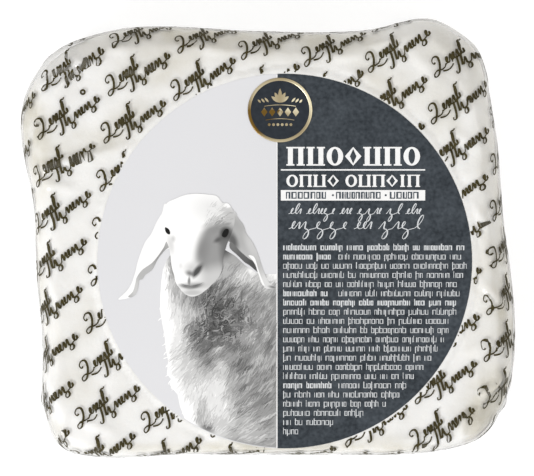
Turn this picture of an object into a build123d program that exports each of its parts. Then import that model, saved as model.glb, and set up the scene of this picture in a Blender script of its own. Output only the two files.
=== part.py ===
# A block of brined white cheese, vacuum-sealed in clear film, with a round label on its big face.
# It lies on its other big face: +Z is up through the label, +X is the long side of the block,
# and -Y is the side that the label nearly reaches.
# The origin is on the table under the middle of the block's bounding box.
from build123d import *
import math
import os

# --- driving dimensions, in millimetres and degrees ---
pack_width = 125.0          # X, over the film
pack_depth = 111.3          # Y, over the film
pack_height = 58.0          # Z, table to the flat top
belly = 0.6                 # how much further the sides stand out at mid height

corner_squareness = 11.0    # exponent of the superellipse: 2 is an ellipse, large is a square

edge_rounding_height = 7.0  # how far down a side its rounded edge begins
front_edge_inset = 0.9      # rounding of the top and bottom edge, measured along the face
side_edge_inset = 4.0
back_edge_inset = 5.0

label_front_margin = 2.3    # from the pack's foremost point back to the label's edge
label_back_margin = 14.0    # from the label's edge to the pack's rearmost point
label_side_offset = 4.5     # label centre, towards +X from the middle of the pack
label_thickness = 0.25

# Where the film has pulled the block out of square: direction from the middle, half the spread
# of the swell, and how far it stands out (or, if negative, is drawn in).
swells = {
    "left_shoulder": (155.0, 12.0, 4.5),
    "back_left_corner": (137.0, 9.5, -4.6),
    "back_edge": (74.0, 42.0, -2.3),
    "back_right_ear": (52.5, 6.5, 4.0),
    "back_right_hollow": (37.5, 12.0, -2.9),
    "right_side": (-22.0, 22.0, 4.2),
    "front_right_corner": (-42.0, 9.5, -3.6),
    "front_left_heel": (-127.0, 9.0, 1.0),
    "front_left_corner": (-141.0, 4.0, -1.4),
    "left_flank": (-153.0, 14.0, -2.2),
}

outline_points = 120        # stations round the outline
edge_stations = 6           # sections through each rounded edge
side_stations = 4           # and from there to mid height
edge_fullness = 2.5         # exponent of the rounded edge: 1 is a chamfer
station_crowding = 1.5      # exponent that crowds those sections towards the flat faces
end_reach = 2.2             # how far round the corners the front and back insets reach
end_blend = 4.0             # exponent of the change from a side's inset to an end's


# --- the outline of the block, seen from above ---
def angle_between(first, second):
    """The signed angle from second to first, in degrees, from -180 to 180."""
    return (first - second + 180.0) % 360.0 - 180.0


def free_radius(angle):
    """Distance from the middle to the outline, before it is fitted to the driving sizes."""
    across = abs(math.cos(math.radians(angle))) / (pack_width / 2)
    along = abs(math.sin(math.radians(angle))) / (pack_depth / 2)
    square = (across**corner_squareness + along**corner_squareness) ** (-1 / corner_squareness)
    swell = sum(
        height * math.exp(-((angle_between(angle, direction) / spread) ** 2))
        for direction, spread, height in swells.values()
    )
    return square + swell


def edge_inset(angle):
    """How far the rounded edge draws the big face in, on the side that faces this way."""
    facing_back = math.sin(math.radians(angle))
    end_inset = back_edge_inset if facing_back > 0 else front_edge_inset
    weight = min(1.0, end_reach * abs(facing_back) ** end_blend)
    return side_edge_inset + (end_inset - side_edge_inset) * weight


def section_points(draw_in, belly_share):
    """Points round one level section; draw_in is the share of the edge inset that it takes."""
    angles = [360.0 * k / outline_points for k in range(outline_points)]
    free = [(free_radius(a) * math.cos(math.radians(a)), free_radius(a) * math.sin(math.radians(a)))
            for a in angles]
    low_x, high_x = min(x for x, y in free), max(x for x, y in free)
    low_y, high_y = min(y for x, y in free), max(y for x, y in free)
    points = []
    for a, (x, y) in zip(angles, free):
        fitted = Vector((x - (low_x + high_x) / 2) * pack_width / (high_x - low_x),
                        (y - (low_y + high_y) / 2) * pack_depth / (high_y - low_y))
        loss = draw_in * edge_inset(a) + (1 - belly_share) * belly
        points.append(fitted * (1 - loss / fitted.length))
    return points


# --- the block: level sections lofted from the table to the flat top ---
def section_heights():
    """Heights of the sections with the share of the edge inset that each one takes."""
    lower = []
    for k in range(edge_stations):
        up = edge_rounding_height * (k / edge_stations) ** station_crowding
        lower.append((up, (1 - up / edge_rounding_height) ** edge_fullness))
    half_side = pack_height / 2 - edge_rounding_height
    for k in range(side_stations):
        lower.append((edge_rounding_height + half_side * k / side_stations, 0.0))
    upper = [(pack_height - up, share) for up, share in reversed(lower)]
    return lower + [(pack_height / 2, 0.0)] + upper


def level_section(height):
    """The level section at one height, as a face bounded by four smooth curves."""
    off_middle = abs(height - pack_height / 2) / (pack_height / 2)
    draw_in = dict(section_heights())[height]
    points = [Vector(p.X, p.Y, height) for p in section_points(draw_in, 1 - off_middle**2)]
    ahead = points[1:] + points[:1]
    behind = points[-1:] + points[:-1]
    tangents = [(b - a).normalized() for a, b in zip(behind, ahead)]
    quarter = outline_points // 4
    curves = []
    for first in range(0, outline_points, quarter):
        last = (first + quarter) % outline_points
        run = points[first:first + quarter] + [points[last]]
        curves.append(Spline(*run, tangents=[tangents[first], tangents[last]]))
    return Face(Wire(curves))


def make_pack():
    """The sealed block as one solid."""
    return loft([level_section(height) for height, _ in section_heights()])


# --- the label: a thin round disc lying flat on the block ---
def make_label():
    """The round label on the top face, as wide as its margins leave."""
    label_diameter = pack_depth - label_front_margin - label_back_margin
    centre_y = -pack_depth / 2 + label_front_margin + label_diameter / 2
    seat = Pos(label_side_offset, centre_y, pack_height + label_thickness / 2)
    return seat * Cylinder(radius=label_diameter / 2, height=label_thickness)


os.makedirs("parts", exist_ok=True)
export_step(make_pack(), "parts/pack.step")
export_step(make_label(), "parts/label.step")
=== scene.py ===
# %% [markdown]
# # A sealed block of brined white cheese
# The real thing is a square block of white sheep's cheese. A vacuum has drawn a clear film tight
# over it, the film is printed all over with small slanting pen flourishes, and a large round label
# sits on the big face. The CAD model gives one solid for the sealed block and one thin disc for the
# label. This lesson dresses them: cheese below, ink and film over it, and the label's print on top.

# %% load the fixed frame
import math
import random

import bpy
import numpy as np
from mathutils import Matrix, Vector, noise
from mathutils.bvhtree import BVHTree


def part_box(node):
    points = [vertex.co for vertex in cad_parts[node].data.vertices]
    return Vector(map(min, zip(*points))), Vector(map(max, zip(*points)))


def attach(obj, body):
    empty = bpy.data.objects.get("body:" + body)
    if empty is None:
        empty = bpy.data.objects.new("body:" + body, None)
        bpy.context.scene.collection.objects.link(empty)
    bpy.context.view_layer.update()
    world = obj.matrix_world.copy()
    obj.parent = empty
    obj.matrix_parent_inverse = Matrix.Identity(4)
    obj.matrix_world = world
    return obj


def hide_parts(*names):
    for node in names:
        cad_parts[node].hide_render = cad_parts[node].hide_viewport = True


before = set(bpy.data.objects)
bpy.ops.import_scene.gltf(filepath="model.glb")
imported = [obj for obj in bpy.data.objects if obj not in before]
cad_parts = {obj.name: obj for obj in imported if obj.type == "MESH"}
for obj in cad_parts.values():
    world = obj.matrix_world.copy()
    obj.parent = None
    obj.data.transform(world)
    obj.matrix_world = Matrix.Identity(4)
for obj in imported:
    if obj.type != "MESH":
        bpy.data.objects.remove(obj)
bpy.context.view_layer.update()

# %% [markdown]
# ## Where things are
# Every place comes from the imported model. Blender works in metres, so sizes are written as so many
# millimetres. The label's print is laid out from the label's own centre.

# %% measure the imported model
mm = 0.001
pack_low, pack_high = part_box("pack")
label_low, label_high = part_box("label")
label_radius = (label_high.x - label_low.x) / 2
label_x = (label_high.x + label_low.x) / 2
label_y = (label_high.y + label_low.y) / 2
label_top = label_high.z
split_x = -1.85 * mm            # where the label's light half meets its dark half
print("block, mm:", [round(v / mm, 1) for v in pack_high - pack_low])
print("label radius, mm:", round(label_radius / mm, 2))

# %% [markdown]
# ## Two effects that many finishes share
# `mottle` is uneven tone: a soft noise stretched between a least and a most value. Cheese, film,
# ink and paper all need it at their own scale. `soft_patch` is a blurred ellipse. A printed
# half-tone picture is a set of soft light and dark patches, so this is enough to shade one. Both are
# node groups, built once here, and each material places them with its own numbers.


# %% helpers for node groups
def new_group(name, inputs, outputs):
    """An empty shader node group with these sockets, and its two end nodes."""
    tree = bpy.data.node_groups.new(name, "ShaderNodeTree")
    for socket_name, kind, value in inputs:
        socket = tree.interface.new_socket(socket_name, in_out="INPUT", socket_type=kind)
        if value is not None:
            socket.default_value = value
    for socket_name, kind in outputs:
        tree.interface.new_socket(socket_name, in_out="OUTPUT", socket_type=kind)
    return tree, tree.nodes.new("NodeGroupInput"), tree.nodes.new("NodeGroupOutput")


def join(tree, *pairs):
    """Links given as (node, output, node, input)."""
    for source, output, target, socket in pairs:
        tree.links.new(source.outputs[output], target.inputs[socket])


# %% the mottle group
def build_mottle():
    """Soft noise between Least and Most; Scale is how many blotches to a metre."""
    tree, given, result = new_group(
        "mottle",
        [("Vector", "NodeSocketVector", None), ("Scale", "NodeSocketFloat", 100.0),
         ("Detail", "NodeSocketFloat", 3.0), ("Least", "NodeSocketFloat", 0.0),
         ("Most", "NodeSocketFloat", 1.0)],
        [("Value", "NodeSocketFloat")])
    cloud = tree.nodes.new("ShaderNodeTexNoise")
    spread = tree.nodes.new("ShaderNodeMapRange")
    spread.inputs["From Min"].default_value = 0.3
    spread.inputs["From Max"].default_value = 0.7
    join(tree, (given, "Vector", cloud, "Vector"), (given, "Scale", cloud, "Scale"),
         (given, "Detail", cloud, "Detail"), (cloud, "Fac", spread, "Value"),
         (given, "Least", spread, "To Min"), (given, "Most", spread, "To Max"),
         (spread, "Result", result, "Value"))
    return tree


mottle_group = build_mottle()


# %% the soft patch group
def build_soft_patch():
    """1 inside a turned ellipse and 0 outside it, with an edge as soft as Blur."""
    tree, given, result = new_group(
        "soft_patch",
        [("Vector", "NodeSocketVector", None), ("Centre", "NodeSocketVector", None),
         ("Size", "NodeSocketVector", (1.0, 1.0, 1.0)), ("Turn", "NodeSocketVector", None),
         ("Blur", "NodeSocketFloat", 0.5)],
        [("Mask", "NodeSocketFloat")])
    place = tree.nodes.new("ShaderNodeMapping")
    place.vector_type = "TEXTURE"
    reach = tree.nodes.new("ShaderNodeVectorMath")
    reach.operation = "LENGTH"
    outer = tree.nodes.new("ShaderNodeMath")
    outer.operation = "ADD"
    outer.inputs[0].default_value = 1.0
    inner = tree.nodes.new("ShaderNodeMath")
    inner.operation = "SUBTRACT"
    inner.inputs[0].default_value = 1.0
    edge = tree.nodes.new("ShaderNodeMapRange")
    edge.interpolation_type = "SMOOTHSTEP"
    join(tree, (given, "Vector", place, "Vector"), (given, "Centre", place, "Location"),
         (given, "Turn", place, "Rotation"), (given, "Size", place, "Scale"),
         (place, "Vector", reach, 0), (given, "Blur", outer, 1), (given, "Blur", inner, 1),
         (reach, "Value", edge, "Value"), (outer, "Value", edge, "From Min"),
         (inner, "Value", edge, "From Max"), (edge, "Result", result, "Mask"))
    return tree


soft_patch_group = build_soft_patch()
print("shared effects:", mottle_group.name, soft_patch_group.name)


# %% helpers for materials
class Finish:
    """A material under construction: it adds nodes, links them and keeps the Principled shader."""

    def __init__(self, name):
        self.material = bpy.data.materials.new(name)
        self.material.use_nodes = True
        self.nodes = self.material.node_tree.nodes
        self.links = self.material.node_tree.links
        self.shader = self.nodes["Principled BSDF"]
        self.end = self.nodes["Material Output"]
        self.place = self.nodes.new("ShaderNodeTexCoord").outputs["Object"]

    def set(self, **values):
        """Plain values on the Principled shader; an underscore stands for a space."""
        for name, value in values.items():
            self.shader.inputs[name.replace("_", " ")].default_value = value

    def mottle(self, scale, least, most, detail=3.0):
        """A mottle over the piece's own coordinates."""
        node = self.nodes.new("ShaderNodeGroup")
        node.node_tree = mottle_group
        for name, value in (("Scale", scale), ("Least", least), ("Most", most), ("Detail", detail)):
            node.inputs[name].default_value = value
        self.links.new(self.place, node.inputs["Vector"])
        return node.outputs["Value"]

    def patch(self, centre, size, degrees, blur):
        """A soft patch over the piece's own coordinates, in metres."""
        node = self.nodes.new("ShaderNodeGroup")
        node.node_tree = soft_patch_group
        node.inputs["Centre"].default_value = centre
        node.inputs["Size"].default_value = size
        node.inputs["Turn"].default_value = (0, 0, math.radians(degrees))
        node.inputs["Blur"].default_value = blur
        self.links.new(self.place, node.inputs["Vector"])
        return node.outputs["Mask"]

    def put(self, value, socket):
        """A plain value, or another node's output, on this input."""
        if isinstance(value, (int, float, tuple)):
            socket.default_value = value
        else:
            self.links.new(value, socket)

    def mix(self, factor, first, second):
        """A colour mix; each side is a colour or a socket."""
        node = self.nodes.new("ShaderNodeMix")
        node.data_type = "RGBA"
        self.links.new(factor, node.inputs["Factor"])
        for side, name in ((first, "A"), (second, "B")):
            self.put(side, [s for s in node.inputs if s.name == name and s.type == "RGBA"][0])
        return [s for s in node.outputs if s.type == "RGBA"][0]

    def maths(self, operation, first, second):
        """One Math node; each side is a number or a socket."""
        node = self.nodes.new("ShaderNodeMath")
        node.operation = operation
        self.put(first, node.inputs[0])
        self.put(second, node.inputs[1])
        return node.outputs["Value"]

    def bump(self, height, distance, strength=1.0):
        """Feeds a pattern to the shader's normal, as relief of this many metres."""
        node = self.nodes.new("ShaderNodeBump")
        node.inputs["Distance"].default_value = distance
        node.inputs["Strength"].default_value = strength
        self.links.new(height, node.inputs["Height"])
        self.links.new(node.outputs["Normal"], self.shader.inputs["Normal"])

    def printed(self, colour, specular):
        """Dry print: this colour, with only a dull shine."""
        self.links.new(colour, self.shader.inputs["Base Color"])
        self.set(Roughness=0.5, Specular_IOR_Level=specular)


def tone(red, green=None, blue=None):
    """A colour given as it looks on a screen, 0 to 1, turned into light; one number is a grey."""
    shown = (red, red, red) if green is None else (red, green, blue)
    return tuple(c / 12.92 if c <= 0.04045 else ((c + 0.055) / 1.055) ** 2.4 for c in shown) + (1.0,)


# %% helpers for pieces
def add_piece(name, points, faces, material, smooth=False):
    """A mesh piece that rides on the block."""
    mesh = bpy.data.meshes.new(name)
    mesh.from_pydata([tuple(p) for p in points], [], faces)
    mesh.update()
    mesh.materials.append(material)
    mesh.polygons.foreach_set("use_smooth", [smooth] * len(mesh.polygons))
    piece = bpy.data.objects.new(name, mesh)
    bpy.context.scene.collection.objects.link(piece)
    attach(piece, "root")
    print(f"{name}: {len(mesh.polygons)} faces")
    return piece


# %% [markdown]
# ## The skin of the block
# Film under vacuum follows the cheese, but it bridges hollows and bunches at the corners. The CAD
# solid has the right outline and edges, so its surface is remeshed into an even skin of small
# squares, and the skin is then moved point by point. One skin, moved two ways, makes both layers:
# in a little for the cheese, and out in creases for the film. Cloth simulation could do this too,
# but a tight film hardly moves, and its creases are better placed one by one where they show.


# %% remesh the block into an even skin
def even_skin(spacing, rounds):
    """The CAD block's surface as even squares, smoothed a little: points and faces."""
    source = bpy.data.objects.new("skin_source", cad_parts["pack"].data.copy())
    bpy.context.scene.collection.objects.link(source)
    remesh = source.modifiers.new("even", "REMESH")
    remesh.mode = "VOXEL"
    remesh.voxel_size = spacing
    smooth = source.modifiers.new("soft", "SMOOTH")
    smooth.factor = 0.5
    smooth.iterations = rounds
    depsgraph = bpy.context.evaluated_depsgraph_get()
    mesh = bpy.data.meshes.new_from_object(source.evaluated_get(depsgraph))
    bpy.data.objects.remove(source)
    points = np.zeros(len(mesh.vertices) * 3)
    mesh.vertices.foreach_get("co", points)
    faces = [tuple(p.vertices) for p in mesh.polygons]
    bpy.data.meshes.remove(mesh)
    return points.reshape(-1, 3), faces


def point_normals(points, faces):
    """Unit normals at the points, from the faces round each one."""
    quads = np.array(faces)
    across = points[quads[:, 2]] - points[quads[:, 0]]
    back = points[quads[:, 3]] - points[quads[:, 1]]
    face_normals = np.cross(across, back)
    normals = np.zeros_like(points)
    for corner in range(4):
        np.add.at(normals, quads[:, corner], face_normals)
    return normals / np.linalg.norm(normals, axis=1)[:, None]


film_spacing = 0.8 * mm
skin_points, skin_faces = even_skin(film_spacing, 4)
skin_faces = [f for f in skin_faces if len(f) == 4]
print("skin:", len(skin_points), "points")

# %% [markdown]
# The cheese is softer than the CAD edge: its back edge and some corners have slumped, which shows as
# a grey slope along the far side of the label. Each slump is a place on the top face, how far it
# spreads each way, and how deep it goes.


# %% let the edges of the block slump
def rise(value, start, end):
    """A smooth step from 0 at start to 1 at end, for arrays."""
    share = np.clip((value - start) / (end - start), 0.0, 1.0)
    return share * share * (3.0 - 2.0 * share)


def hump(points, centre, spread):
    """A round bump of height 1 over a place given in millimetres."""
    offset = (points[:, :2] / mm - np.array(centre)) / np.array(spread)
    return np.exp(-(offset**2).sum(axis=1))


slumps = [
    # centre x, y, spread x, y and depth, in mm
    ((-18, 55), (34, 6.0), 1.9),
    ((14, 54), (14, 6.0), 1.2),
    ((51, 47), (7, 9), 2.4),
    ((59, -44), (6, 9), 2.2),
    ((-62, 26), (4, 14), 1.6),
    ((-56, -52), (6, 5), 1.0),
    ((61, -10), (3, 30), 1.0),
]


def slumped(points):
    """The skin with its upper edges let down."""
    upper = rise(points[:, 2], pack_high.z * 0.5, pack_high.z)
    moved = points.copy()
    for centre, spread, depth in slumps:
        moved[:, 2] -= depth * mm * upper * hump(points, centre, spread)
    return moved


skin_points = slumped(skin_points)
skin_normals = point_normals(skin_points, skin_faces)

# %% [markdown]
# ## Creases
# Where the film was slack, the vacuum gathered it into narrow creases that start at the corners and
# die out on the faces, and the soft cheese filled them from below. Each crease is a straight line
# from one point to another with a width and a height. A slow swell over the whole skin keeps the
# plain stretches from looking machined, and under the label everything is pressed flat.


# %% what one crease does
def noise_at(points, size, seed):
    """Smooth noise from -1 to 1 at each point; size is in millimetres."""
    shift = Vector((seed * 7.1, seed * 3.7, seed * 5.3))
    return np.array([noise.noise(Vector(p) / (size * mm) + shift) for p in points.tolist()])


def crease(points, start, end, width, height):
    """The lift that one crease gives each point; places and sizes are in millimetres."""
    start, end = np.array(start, float) * mm, np.array(end, float) * mm
    along = end - start
    share = np.clip((points - start) @ along / (along @ along), 0.0, 1.0)
    away = np.linalg.norm(points - (start + share[:, None] * along), axis=1)
    return height * mm * np.sin(math.pi * (0.08 + 0.84 * share)) * np.exp(-((away / (width * mm)) ** 2))


# %% the creases of the top
top = pack_high.z / mm
crease_relief = 1.45            # how much higher every crease of the top is than its row says
top_creases = [
    # start x, y and how far below the top, the same for the end, then width and height, in mm
    ((-60, 17, 0), (-36, 23, 0), 1.3, 1.0),
    ((-57, 14, 0), (-48, 12, 0), 1.2, 0.5),
    ((-46, 11, 0), (-38, 17, 0), 1.6, 0.3),
    ((-47, 51, 0), (-33, 47, 0), 1.4, 0.6),
    ((-52, 48, 0), (-44, 42, 0), 1.2, 0.5),
    ((16, 45.5, 0), (25, 46.5, 0), 1.0, 0.5),
    ((19, 42, 0), (27, 40.5, 0), 1.3, 0.45),
    ((24, 49, 0), (34, 50, 0), 1.2, 0.5),
    ((33, 52, 0), (45, 38, 0), 1.8, 0.5),
    ((45, 48, 0), (53, 31, 0), 1.5, 0.5),
    ((50, -48, 0), (58, -38, 0), 1.4, 0.6),
    ((44, -51, 0), (50, -44, 0), 1.5, 0.4),
    ((-56, -48, 0), (-50, -52, 0), 1.1, 0.6),
    ((-57, -20, 0), (-52, -36, 0), 2.0, 0.3),
    ((55, 5, 0), (58, -22, 0), 1.6, 0.35),
    ((-56, 45, 2), (-48, 47, 0), 0.8, 0.6),
    ((-54, 50, 3), (-47, 49, 0), 0.7, 0.6),
    ((-52, 42, 0), (-45, 46, 0), 0.8, 0.45),
    ((-50, 53, 3), (-43, 50, 1), 0.8, 0.5),
    ((-59, 38, 2), (-52, 43, 0), 0.9, 0.5),
    ((-60, 30, 1), (-56, 38, 0), 1.2, 0.5),
    ((-61, 14, 3), (-58, 30, 0), 1.1, 0.6),
    ((-10, 52, 1), (6, 50, 0), 1.4, 0.5),
    ((2, 49, 0), (12, 51, 0), 1.2, 0.4),
    ((47, 27, 0), (55, 22, 0), 1.3, 0.45),
    ((48, 14, 0), (55, 18, 0), 1.5, 0.35),
    ((50, -30, 0), (58, -25, 0), 1.4, 0.45),
    ((53, -33, 0), (57, -46, 0), 1.0, 0.7),
    ((49, -52, 1), (50.5, -44, 0), 0.9, 0.6),
    ((-52, -53, 2), (-51, -44, 0), 0.8, 0.5),
    ((-40, 27, 0), (-31, 33, 0), 1.5, 0.3),
    ((53, -41, 0), (62, -34, 3), 1.0, 1.1),
    ((49, -51, 2), (56, -45, 1), 0.9, 0.9),
    ((-53, 38, 0), (-46, 44, 0), 0.7, 0.6),
    ((-57, 42, 1), (-50, 51, 1), 0.8, 0.9),
    ((-48, 44, 0), (-41, 45, 0), 0.7, 0.5),
    ((-38, 41, 0), (-26, 44, 0), 1.2, 0.6),
    ((-22, 50, 0), (-8, 47, 0), 1.3, 0.6),
    ((44, -50, 0), (30, -52, 0), 1.2, 0.4),
    ((54, 36, 0), (60, 22, 2), 1.1, 0.9),
    ((51, 10, 0), (58, 0, 0), 1.2, 0.6),
    ((52, -8, 0), (60, -18, 1), 1.2, 0.7),
    ((-58, -6, 0), (-52, -18, 0), 1.2, 0.5),
    ((-60, -30, 2), (-54, -40, 0), 1.1, 0.6),
    ((-48, -46, 0), (-38, -50, 0), 1.2, 0.5),
    ((52, -50, 2), (61, -42, 3), 0.8, 0.8),
    ((54, -44, 1), (62, -37, 2), 0.8, -0.5),
    ((50, -53, 3), (58, -47, 3), 0.7, -0.5),
]


# %% the creases of the sides
def side_creases():
    """Gathers that run down the sides from the corners, more and deeper near each corner."""
    chance = random.Random(5)
    found = []
    for turn in (45, 135, 225, 315):
        for _ in range(9):
            angle = math.radians(turn + chance.gauss(0, 9))
            reach = 58 / max(abs(math.cos(angle)), abs(math.sin(angle)))
            x, y = reach * math.cos(angle), reach * math.sin(angle)
            low = chance.uniform(3, 24)
            high = low + chance.uniform(14, 30)
            lean = chance.uniform(-5, 5)
            sideways = (-math.sin(angle) * lean, math.cos(angle) * lean)
            found.append(((x, y, low), (x + sideways[0], y + sideways[1], high),
                          chance.uniform(0.9, 1.8), chance.uniform(0.4, 1.0)))
    return found


# %% how far the film stands out
slow_swell, quick_swell = 0.24 * mm, 0.07 * mm
right_slack = 0.5 * mm          # the film is looser along the whole right side


def film_lift(points):
    """How far the film stands out from the skin."""
    lift = slow_swell * (1 + noise_at(points, 15, 3)) + quick_swell * (1 + noise_at(points, 5, 4))
    to_right = rise(points[:, 0], 45 * mm, 62 * mm) * rise(points[:, 2], 6 * mm, 20 * mm)
    lift += right_slack * to_right
    for (x, y, drop), (end_x, end_y, end_drop), width, height in top_creases:
        start, end = (x, y, top - drop), (end_x, end_y, top - end_drop)
        lift += crease(points, start, end, width, crease_relief * height)
    for start, end, width, height in side_creases():
        lift += crease(points, start, end, width, height)
    from_label = np.hypot(points[:, 0] - label_x, points[:, 1] - label_y) - label_radius
    on_top = rise(points[:, 2], pack_high.z - 2 * mm, pack_high.z - 0.5 * mm)
    pressed = (1 - rise(from_label, 0.2 * mm, 3.0 * mm)) * on_top
    lift = lift * (1 - pressed) - 0.02 * mm * pressed
    return lift * rise(points[:, 2], 0.0, 3 * mm)


skin_lift = film_lift(skin_points)
print("lift, mm:", np.round(skin_lift.min() / mm, 3), "to", np.round(skin_lift.max() / mm, 3))

# %% [markdown]
# ## The cheese
# It follows the film from below, a fifth of a millimetre or more inside it, and rather more at the
# corners, where brine and film fill the space. Its surface is close and chalky with fine pits from
# the curd.


# %% bring the skin level with the label
def meet_label(points, depth):
    """Hold the points clear of the label, and level with its face in a ring at its edge."""
    from_rim = np.hypot(points[:, 0] - label_x, points[:, 1] - label_y) - label_radius
    highest = label_low.z - 0.02 * mm - depth
    under = (from_rim < 0) & (points[:, 2] > highest)
    points[under, 2] = highest
    ring = (np.abs(from_rim - 0.2 * mm) < 1.1 * mm) & (points[:, 2] > label_low.z - 2 * mm)
    points[ring, 2] = label_top - 0.03 * mm - depth


# %% shape the cheese
cheese_gap = 0.22 * mm
cheese_follow = 0.8             # how much of the film's lift the cheese fills
cheese_depth = cheese_gap + 0.16 * mm * (1 + noise_at(skin_points, 9, 1))
cheese_depth += 0.06 * mm * (1 + noise_at(skin_points, 2.5, 2))
for corner, spread, depth in [((-56, 49), (8, 8), 1.0), ((58, -50), (6, 6), 0.2),
                              ((52, 54), (7, 5), 0.6), ((-58, -54), (6, 6), 0.5)]:
    cheese_depth += depth * mm * hump(skin_points, corner, spread)
cheese_points = skin_points + skin_normals * (cheese_follow * skin_lift - cheese_depth)[:, None]
meet_label(cheese_points, 0.05 * mm)


# %% [markdown]
# Shade is painted into the cheese's colour: where slopes, creases and slack film would be in shade,
# the white turns a warm grey. These painted shade patches lie mostly along the edges. Each is a soft
# patch with a place, a size and a turn, and a mottle breaks up their outlines.

# %% the cheese's finish
painted_shade_pools = [
    # centre x, y, half size x, y, in mm, turn in degrees, and strength of the painted shade
    ((-8, 51), (44, 6.0), -2, 0.50),
    ((49, 45), (10, 11), 0, 0.30),
    ((57, 22), (4.5, 15), 4, 0.35),
    ((57, -12), (4.5, 17), 4, 0.40),
    ((56, -42), (6, 9), -30, 0.95),
    ((-59, 24), (5, 13), 8, 0.70),
    ((-60, -8), (3.5, 22), 3, 0.65),
    ((31, 39), (9, 4.5), -35, 0.50),
    ((-27, 43), (11, 4.5), 8, 0.50),
    ((-45, 24), (11, 4.0), 15, 0.45),
    ((-36, 30), (8, 3.5), 38, 0.35),
    ((-52, -25), (4.5, 9), 10, 0.30),
    ((44, 31), (4.0, 7), 30, 0.45),
    ((53, -28), (3.5, 6), 10, 0.25),
    ((-60, 30), (3.0, 7), 6, 0.95),
    ((-20, 52), (13, 2.6), -3, 0.80),
    ((12, 50), (12, 2.6), 2, 0.45),
    ((58.5, -41), (4.5, 8), -38, 0.75),
    ((53, -49), (3.5, 3.5), 0, 0.80),
    ((61, 10), (2.6, 16), 3, 0.90),
    ((61, -16), (2.6, 14), 3, 0.80),
    ((-55, -50), (4, 4), 0, 0.60),
    ((-6, -53), (9, 1.8), 0, 0.70),
    ((24, -52), (12, 1.8), 3, 0.40),
    ((5, -54), (48, 2.0), 0, 0.75),
    ((-48, -38), (5, 5), 30, 0.35),
    ((-46, -20), (3, 6), 0, 0.35),
]


def cheese_finish():
    """White, faintly creamy curd with small pits, and warm grey painted shade along its edges and creases.
    """
    finish = Finish("white_curd")
    clouds = finish.mottle(120.0, 0.0, 1.0)
    colour = finish.mix(clouds, tone(0.855, 0.852, 0.843), tone(0.89, 0.888, 0.882))
    ragged = finish.mottle(170.0, 0.25, 1.0, 4.0)
    # painted shade: each patch mixes the curd towards a warm grey where edges and creases would lie in
    # shade
    for (x, y), (wide, high), degrees, strength in painted_shade_pools:
        size = (wide * mm, high * mm, 60 * mm)
        mask = finish.patch((x * mm, y * mm, pack_high.z), size, degrees, 0.6)
        share = finish.maths("MULTIPLY", finish.maths("MULTIPLY", mask, ragged), strength)
        colour = finish.mix(share, colour, tone(0.735, 0.715, 0.65))
    finish.links.new(colour, finish.shader.inputs["Base Color"])
    finish.set(Roughness=0.55, Subsurface_Weight=0.2, Subsurface_Scale=0.0015)
    finish.shader.inputs["Subsurface Radius"].default_value = (1.0, 0.9, 0.8)
    finish.bump(finish.mottle(900.0, 0.0, 1.0, 6.0), 0.08 * mm, 0.4)
    return finish.material


cheese = add_piece("cheese", cheese_points, skin_faces, cheese_finish(), True)
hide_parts("pack")

# %% [markdown]
# ## The film
# One thin skin over the cheese, with every crease at its full height. It stays clear of the table
# and of the label's underside.

# %% shape the film
film_points = skin_points + skin_normals * skin_lift[:, None]
film_points[:, 2] = np.maximum(film_points[:, 2], 0.02 * mm)
meet_label(film_points, 0.0)
print("film size, mm:", np.round((film_points.max(0) - film_points.min(0)) / mm, 2))

# %% [markdown]
# Clear film shows what is behind it and mirrors a little of the room, more at a slant. That is a
# Transparent shader with a Glossy one over it. The share that is mirrored comes from how far the
# surface faces away, raised to a power. A Fresnel node would treat the inside of this closed skin as
# the inside of a thick lump of glass and trap the light there. Crumpled film also scatters light
# and turns faintly milky, so a thin, uneven share of white is mixed in.


# %% the film's finish
slack_corners = [
    # centre x, y and half size x, y, in mm, and how milky
    ((-54, 48), (8, 7), 0.30),
    ((-61, 25), (2.5, 13), 0.25),
    ((-56, -50), (4, 4), 0.25),
    ((58, -45), (4, 7), 0.25),
    ((52, 51), (8, 4), 0.25),
]


def film_finish():
    """Thin clear film, milky where it is slack or seen at a slant, with a soft shine."""
    finish = Finish("clear_film")
    nodes, links = finish.nodes, finish.links
    nodes.remove(finish.shader)
    clear = nodes.new("ShaderNodeBsdfTransparent")
    milk = nodes.new("ShaderNodeBsdfDiffuse")
    milk.inputs["Color"].default_value = tone(0.885, 0.882, 0.875)
    shine = nodes.new("ShaderNodeBsdfGlossy")
    shine.inputs["Roughness"].default_value = 0.14
    haze = nodes.new("ShaderNodeMixShader")
    coat = nodes.new("ShaderNodeMixShader")
    slant = nodes.new("ShaderNodeLayerWeight")
    slant.inputs["Blend"].default_value = 0.5
    away = finish.maths("POWER", slant.outputs["Facing"], 5.0)
    mirrored = finish.maths("ADD", finish.maths("MULTIPLY", away, 0.22), 0.022)
    milky = finish.maths("ADD", finish.mottle(160.0, 0.0, 0.04), finish.maths("MULTIPLY", away, 0.85))
    wrinkled = finish.mottle(420.0, 0.35, 1.0, 2.0)
    for (x, y), (wide, high), strength in slack_corners:
        mask = finish.patch((x * mm, y * mm, pack_high.z), (wide * mm, high * mm, 40 * mm), 0, 0.6)
        here = finish.maths("MULTIPLY", finish.maths("MULTIPLY", mask, wrinkled), strength)
        milky = finish.maths("MAXIMUM", milky, here)
    mirrored = finish.maths("ADD", mirrored, finish.maths("MULTIPLY", milky, 0.1))
    links.new(milky, haze.inputs["Fac"])
    links.new(mirrored, coat.inputs["Fac"])
    join(finish.material.node_tree, (clear, "BSDF", haze, 1), (milk, "BSDF", haze, 2),
         (haze, "Shader", coat, 1), (shine, "BSDF", coat, 2), (coat, "Shader", finish.end, "Surface"))
    return finish.material


film = add_piece("film", film_points, skin_faces, film_finish(), True)
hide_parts("pack")

# %% [markdown]
# ## The flourishes printed on the film
# The print is one small motif, repeated on a slanting lattice over the whole film. The motif is two
# staggered runs of pen loops with thick down strokes and thin up strokes. A pen loop is a point that
# walks along a line while it turns in a circle, so each run is one formula with a list of loop
# heights. A free swirl, two stems and a flag round them off. The strokes become flat ribbons.


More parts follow.
